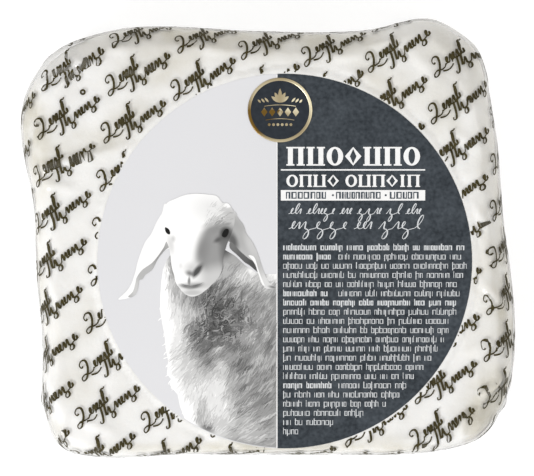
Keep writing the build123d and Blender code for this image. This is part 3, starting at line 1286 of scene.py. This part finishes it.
# %% short hair on the brow and along the head's shaded side
brow_chance = random.Random(17)
brow_lines = {0.60: [], 0.80: [], 0.93: []}
for _ in range(240):
    x, y = brow_chance.uniform(-20.5, -12.8), brow_chance.uniform(7.5, 14.0)
    if inside(x, y, head) and y > 8.2 + 0.35 * (x + 20.5) * (x < -18):
        slope = 62 - 9.5 * (x + 20.5) + brow_chance.gauss(0, 8)
        line = fleece_line(x, y, slope, 0.0, brow_chance)[:6]
        wanted = grey_at(x, y, head_base, head_patches) + brow_chance.gauss(0, 0.08)
        if all(inside(px, py, head) for px, py in line) and math.hypot(x + 15.1, y - 7.1) > 1.9:
            brow_lines[min(brow_lines, key=lambda t: abs(t - wanted))].append(line)
for number, (grey, lines) in enumerate(brow_lines.items()):
    hairs = [tapered(line, 0.14) for line in lines]
    print_shapes(f"sheep_brow_{number}", f"brow_tone_{number}", brow_layer, hairs, grey)

# %% [markdown]
# ### The lettering's place
# The dark half is full of text on a real pack. Here the two titles are rows of plain upright
# ornaments, and each small letter is only an empty box with one thick side, as a layout artist marks
# text that isn't written yet. The page keeps its weight and rhythm and says nothing.


# %% set rows of blank letters
def blank_word(page, left, baseline, count, height, pitch, stem, chance, tails=0.0):
    """A word of empty letter boxes; returns where it ends."""
    x = left
    for _ in range(count):
        wide = pitch * chance.uniform(0.72, 0.98)
        right = x + wide * 0.84
        thick_left = chance.random() < 0.6
        low = baseline - (height * 0.35 if chance.random() < tails else 0.0)
        high = baseline + height * (1.38 if chance.random() < tails else 1.0)
        thin = stem * 0.6
        inner_left = x + (stem if thick_left else thin)
        inner_right = right - (thin if thick_left else stem)
        page.bar(x, low if thick_left else baseline, inner_left, high)
        page.bar(inner_right, baseline, right, baseline + height)
        if chance.random() < 0.62:
            page.bar(inner_left, baseline + height - thin, inner_right, baseline + height)
        if chance.random() < 0.5:
            page.bar(inner_left, baseline, inner_right, baseline + thin)
        x += wide
    return x


def blank_line(page, left, right, baseline, height, pitch, stem, chance, tails=0.25):
    """A justified line of blank words."""
    lengths, used = [], 0.0
    while used < right - left:
        lengths.append(chance.randint(2, 9))
        used += lengths[-1] * pitch * 0.85 + pitch * 0.8
    lengths[-1] = max(1, lengths[-1] - int((used - (right - left)) / (pitch * 0.85)))
    x = left
    for length in lengths:
        if x + length * pitch * 0.8 > right:
            length = int((right - x) / (pitch * 0.85))
        if length > 0:
            x = blank_word(page, x, baseline, length, height, pitch, stem, chance, tails)
        x += pitch * 0.8


white_ink = ink_finish("white_ink", tone(0.90), tone(0.87))
fine_ink = ink_finish("fine_ink", tone(0.80, 0.81, 0.82), tone(0.76, 0.77, 0.78))
slate_ink = ink_finish("slate_ink", tone(0.30, 0.33, 0.36), tone(0.22, 0.25, 0.28))
letters = random.Random(21)
text_left, text_right = 0.4, 34.3       # the titles' column, from the label's centre
rule_left, rule_right = -1.0, 35.6

# %% ornaments for the two titles
def ornament(page, kind, left, baseline, wide, high, stem, hair):
    """One upright ornament with slab ends: a post, a gate, a cup, a ring or a lozenge."""
    right, top_edge, slab = left + wide, baseline + high, 0.45 * stem
    if kind in ("ring", "lozenge"):
        sides = 4 if kind == "lozenge" else 32
        cx, cy = left + wide / 2, baseline + high / 2
        for k in range(sides):
            a, b = 2 * math.pi * k / sides, 2 * math.pi * (k + 1) / sides
            outer = [(cx + wide / 2 * math.cos(t), cy + high / 2 * math.sin(t)) for t in (a, b)]
            inner = [(cx + (wide / 2 - stem) * math.cos(t), cy + (high / 2 - hair * 1.3) * math.sin(t))
                     for t in (b, a)]
            page.shape(outer + inner)
        return
    stems = {"post": [left + wide / 2 - stem / 2], "gate": [left + slab * 0.7, right - stem - slab * 0.7],
             "cup": [left + slab * 0.7, right - stem - slab * 0.7]}[kind]
    for x in stems:
        page.bar(x, baseline + hair, x + stem, top_edge - hair)
        page.bar(x - slab * 0.7, baseline, x + stem + slab * 0.7, baseline + hair)
        page.bar(x - slab * 0.7, top_edge - hair, x + stem + slab * 0.7, top_edge)
    if kind == "gate":
        page.bar(stems[0] + stem + slab * 0.7, top_edge - hair, stems[1] - slab * 0.7, top_edge)
    if kind == "cup":
        page.bar(stems[0] + stem + slab * 0.7, baseline, stems[1] - slab * 0.7, baseline + hair)


# %% the title, its rule and the second title
titles = FlatPrint(text_layer)
title_row = ["gate", "cup", "ring", "lozenge", "cup", "gate", "ring"]
second_row = ["ring", "gate", "cup", "lozenge", None, "ring", "cup", "gate", "lozenge", "post", "gate"]
title_widths = {"post": 2.6, "gate": 4.9, "cup": 4.9, "ring": 4.4, "lozenge": 4.4, None: 1.6}


def title(row, baseline, high, stem, hair):
    """A row of ornaments that fills the column."""
    total = sum(title_widths[kind] for kind in row)
    gap = 0.09 * (text_right - text_left) / len(row)
    share = (text_right - text_left - gap * (len(row) - 1)) / total
    x = text_left
    for kind in row:
        if kind:
            ornament(titles, kind, x, baseline, title_widths[kind] * share, high, stem, hair)
        x += title_widths[kind] * share + gap


title(title_row, 24.2, 4.75, 1.26, 0.38)
title(second_row, 18.8, 3.1, 0.74, 0.28)
titles.bar(rule_left, 22.95, rule_right, 23.3)
titles.add("label_titles", white_ink)

# %% the white band with its small dark words
band = FlatPrint(text_layer)
band.bar(rule_left, 15.35, rule_right, 18.0)
band.add("label_band", white_ink)
band_words = FlatPrint(band_words_layer)
for first, count in ((0.3, 7), (13.0, 9), (26.6, 5)):
    blank_word(band_words, first, 15.8, count, 1.75, 1.75 if count < 9 else 1.52, 0.46, letters)
for dot in (12.2, 25.6):
    band_words.disc(dot, 16.7, 0.26)
band_words.add("label_band_words", slate_ink)

# %% two lines of pen flourish
def flourish_word(count, size, pen):
    """Loops for one word: small ones with now and then a tall loop or one below the line."""
    loops = []
    for k in range(count):
        kind = pen.random()
        if kind < 0.16 and k:
            loops.append((0.95 * size, 1.95 * size, 0.45))
        elif kind < 0.34 and k:
            loops.append((0.95 * size, -1.45 * size, 0.5))
        else:
            advance = pen.uniform(0.62, 0.82) * size
            loops.append((advance, size * pen.uniform(0.95, 1.1), pen.choice((0.0, 0.4))))
    return loops


flourish = FlatPrint(text_layer)
pen = random.Random(29)
for baseline, size, counts in ((12.0, 1.35, (3, 7, 3, 6, 3, 4)), (8.2, 1.8, (9, 3, 6))):
    words = [flourish_word(count, size, pen) for count in counts]
    space = 1.1 * size
    natural = sum(loop[0] for word in words for loop in word)
    stretch = (text_right - text_left - 0.6 - space * (len(words) - 1)) / natural
    x = text_left + 0.6
    for word in words:
        word = [(advance * stretch, height, swing) for advance, height, swing in word]
        flourish.ribbon(pen_loops(word, (x, baseline), 0.5, 12), 0.16, 0.18 + 0.09 * size)
        x += sum(loop[0] for loop in word) + space
flourish.add("label_flourish", fine_ink)

# %% the small print, which follows the label's curve
small_print = FlatPrint(text_layer)
small_left, first_baseline, line_pitch, x_height = -0.4, 2.75, 2.332, 1.2
for line in range(21):
    baseline = first_baseline - line * line_pitch
    lowest = abs(baseline) + (0.6 if baseline < 0 else 1.4)
    rim = math.sqrt(max(0.0, circle_reach**2 - lowest**2))
    right = min(46.6, rim - 0.9 - 0.09 * line)
    if line > 17:
        right -= (3.0, 6.5, 10.0)[line - 18]
    bold = line in (0, 6)
    start = small_left
    if line in (1, 5, 15):
        blank_line(small_print, start, start + 13.0, baseline, x_height, 1.14, 0.34, letters)
        start += 14.0
    blank_line(small_print, start, right, baseline, x_height, 1.14, 0.34 if bold else 0.22, letters)
small_print.add("label_small_print", fine_ink)

# %% the pale line along the split
split_line = FlatPrint(text_layer)
split_reach = math.sqrt(circle_reach**2 - split**2)
split_line.bar(split - 0.28, -split_reach, split, split_reach)
split_line.add("label_split_line", white_ink)

# %% [markdown]
# ### The foil badge
# A round badge straddles the split near the label's top: a dark disc in a raised ring of gold foil,
# with a spray of leaves, two fine arcs and a row of lozenges. Hot foil is a mirror with a colour, so
# it is metallic, and its bands of light and shade are drawn as a slow change of colour round it.

# %% the badge's finishes
badge_x, badge_y, badge_radius, ring_width = -1.2, 38.3, 8.19, 0.78


def foil_finish():
    """Gold foil whose colour comes and goes round the badge."""
    finish = Finish("gold_foil")
    side = finish.nodes.new("ShaderNodeSeparateXYZ")
    finish.links.new(finish.place, side.inputs["Vector"])
    centre = on_label(badge_x, badge_y, 0)
    dx = finish.maths("SUBTRACT", side.outputs["X"], centre[0])
    dy = finish.maths("SUBTRACT", side.outputs["Y"], centre[1])
    turn = finish.maths("ARCTAN2", dy, dx)
    wave = finish.maths("SINE", finish.maths("ADD", finish.maths("MULTIPLY", turn, 3.0), 0.4), 0.0)
    slow = finish.maths("COSINE", finish.maths("SUBTRACT", turn, 0.45), 0.0)
    both = finish.maths("ADD", finish.maths("MULTIPLY", wave, 0.24), finish.maths("MULTIPLY", slow, 0.34))
    shown = finish.maths("ADD", both, 0.42)
    gold = finish.mix(shown, tone(0.46, 0.36, 0.17), tone(0.97, 0.93, 0.80))
    finish.links.new(gold, finish.shader.inputs["Base Color"])
    finish.set(Metallic=1.0, Roughness=0.38)
    return finish.material


gold_foil = foil_finish()
badge_dark = ink_finish("badge_dark", tone(0.17, 0.19, 0.215), tone(0.135, 0.155, 0.18))


# %% the badge's disc and ring
def ring_points(radius, height):
    """A circle of points about the badge's centre."""
    x, y, z = on_label(badge_x, badge_y, height)
    angles = [2 * math.pi * k / 96 for k in range(96)]
    return [(x + radius * mm * math.cos(a), y + radius * mm * math.sin(a), z) for a in angles]


badge_base = FlatPrint(badge_layer)
badge_base.disc(badge_x, badge_y, badge_radius - 0.2, 96)
badge_base.add("badge_disc", badge_dark)
profile = []
for k in range(9):
    turn = math.pi * k / 8
    radius = badge_radius - ring_width / 2 + ring_width / 2 * math.cos(turn)
    profile.append((radius, 5.5 + 6.5 * math.sin(turn)))
ring_mesh_points = [p for radius, height in profile for p in ring_points(radius, height)]
ring_faces = []
for band_number in range(len(profile) - 1):
    for k in range(96):
        a, b = band_number * 96 + k, band_number * 96 + (k + 1) % 96
        ring_faces.append((a, b, b + 96, a + 96))
add_piece("badge_ring", ring_mesh_points, ring_faces, gold_foil, True)


# %% the badge's leaves, arcs and lozenges
def leaf(x, y, length, width, degrees):
    """A pointed leaf outline that starts at (x, y) and grows in a direction."""
    side = [(length * t, width / 2 * math.sin(math.pi * t) ** 0.8) for t in np.linspace(0, 1, 9)]
    outline = side + [(px, -py) for px, py in side[-2:0:-1]]
    return [(x + px, y + py) for px, py in turned(outline, degrees)]


badge_motif = FlatPrint(badge_motif_layer)
for degrees, length in ((90, 3.6), (62, 2.9), (118, 2.9), (35, 2.7), (145, 2.7)):
    badge_motif.shape(leaf(badge_x, badge_y + 1.9, length, 0.95, degrees))
for side in (-1, 1):
    for k in range(3):
        px = badge_x + side * (2.9 + 1.0 * k)
        badge_motif.shape(leaf(px, badge_y + 2.0 - 0.08 * k, 1.5 - 0.2 * k, 0.5, 90 - side * 42))
for height, reach in ((1.3, 4.0), (-2.2, 3.6)):
    arc = [(badge_x + reach * t, badge_y + height - 0.35 * t * t) for t in np.linspace(-1, 1, 21)]
    badge_motif.ribbon(arc, 0.16, 0.16)
for k in range(5):
    px = badge_x - 4.0 + 2.0 * k
    badge_motif.shape([(px - 0.82, badge_y - 0.5), (px, badge_y - 1.65), (px + 0.82, badge_y - 0.5),
                       (px, badge_y + 0.65)])
for k in range(6):
    badge_motif.disc(badge_x - 2.75 + 1.1 * k, badge_y - 3.7, 0.36, 16)
badge_motif.add("badge_motif", gold_foil)

# %% [markdown]
# ## Floor, light and camera
# The block lies on a plain white table that gives off light of its own, as a studio's lit table
# does. A bright even room keeps the white cheese white. One soft lamp from the front left gives the
# creases their shape and a weak one on the right opens their shadows. The camera looks straight down
# from far off through a long lens, so that the label stays a true circle.

# %% the floor
floor_finish = Finish("white_table")
floor_colour = floor_finish.mix(floor_finish.mottle(8.0, 0.0, 1.0), tone(0.57), tone(0.58))
floor_finish.links.new(floor_colour, floor_finish.shader.inputs["Base Color"])
floor_finish.set(Roughness=0.8, Emission_Color=tone(1.0), Emission_Strength=0.78)
floor_mesh = bpy.data.meshes.new("floor")
floor_reach = 3.0
floor_mesh.from_pydata([(-floor_reach, -floor_reach, 0), (floor_reach, -floor_reach, 0),
                        (floor_reach, floor_reach, 0), (-floor_reach, floor_reach, 0)], [], [(0, 1, 2, 3)])
floor_mesh.materials.append(floor_finish.material)
floor = bpy.data.objects.new("floor", floor_mesh)
bpy.context.scene.collection.objects.link(floor)

# %% the light
def bright_room(towards, least, most):
    """A white room, brighter and cooler on the side that it is lit from."""
    world = bpy.data.worlds.new("room")
    world.use_nodes = True
    nodes, links = world.node_tree.nodes, world.node_tree.links
    look = nodes.new("ShaderNodeTexCoord")
    side = nodes.new("ShaderNodeVectorMath")
    side.operation = "DOT_PRODUCT"
    side.inputs[1].default_value = Vector(towards).normalized()
    level = nodes.new("ShaderNodeMapRange")
    level.interpolation_type = "SMOOTHSTEP"
    level.inputs["From Min"].default_value = -0.8
    level.inputs["From Max"].default_value = 0.9
    walls = nodes.new("ShaderNodeMix")
    walls.data_type = "RGBA"
    sides = [socket for socket in walls.inputs if socket.type == "RGBA"]
    for socket, colour, strength in zip(sides, ((1.0, 0.965, 0.90), (0.985, 0.99, 1.0)), (least, most)):
        socket.default_value = tuple(part * strength for part in colour) + (1.0,)
    links.new(look.outputs["Generated"], side.inputs[0])
    links.new(side.outputs["Value"], level.inputs["Value"])
    links.new(level.outputs["Result"], walls.inputs["Factor"])
    links.new([s for s in walls.outputs if s.type == "RGBA"][0], nodes["Background"].inputs["Color"])
    return world


def soft_lamp(name, place, size, power):
    """A square area lamp that faces the block."""
    lamp = bpy.data.lights.new(name, "AREA")
    lamp.shape = "SQUARE"
    lamp.size = size
    lamp.energy = power
    holder = bpy.data.objects.new(name, lamp)
    holder.location = place
    away = Vector(place) - Vector((0, 0, pack_high.z / 2))
    holder.rotation_euler = away.to_track_quat("Z", "Y").to_euler()
    bpy.context.scene.collection.objects.link(holder)


bpy.context.scene.world = bright_room(towards=(-0.45, -0.85, 0.25), least=0.76, most=0.92)
soft_lamp("key_lamp", place=(-1.0, -0.9, 1.05), size=0.45, power=16.5)
soft_lamp("fill_lamp", place=(0.9, -0.2, 1.0), size=0.8, power=2.0)
print("lamps:", [lamp.name for lamp in bpy.data.lights])

# %% the camera
camera_height = 3.0
view_width = 135.4 * mm         # what the picture's width takes in at the label
camera_data = bpy.data.cameras.new("camera")
camera_data.sensor_width = 36.0
camera_data.lens = camera_data.sensor_width * camera_height / view_width
camera = bpy.data.objects.new("camera", camera_data)
camera.location = (0.0, 0.0, label_top + camera_height)
bpy.context.scene.collection.objects.link(camera)
bpy.context.scene.camera = camera

scene = bpy.context.scene
scene.view_settings.view_transform = "Standard"
scene.view_settings.look = "None"
scene.view_settings.exposure = 0.0
scene.cycles.use_denoising = True
scene.cycles.transparent_max_bounces = 16
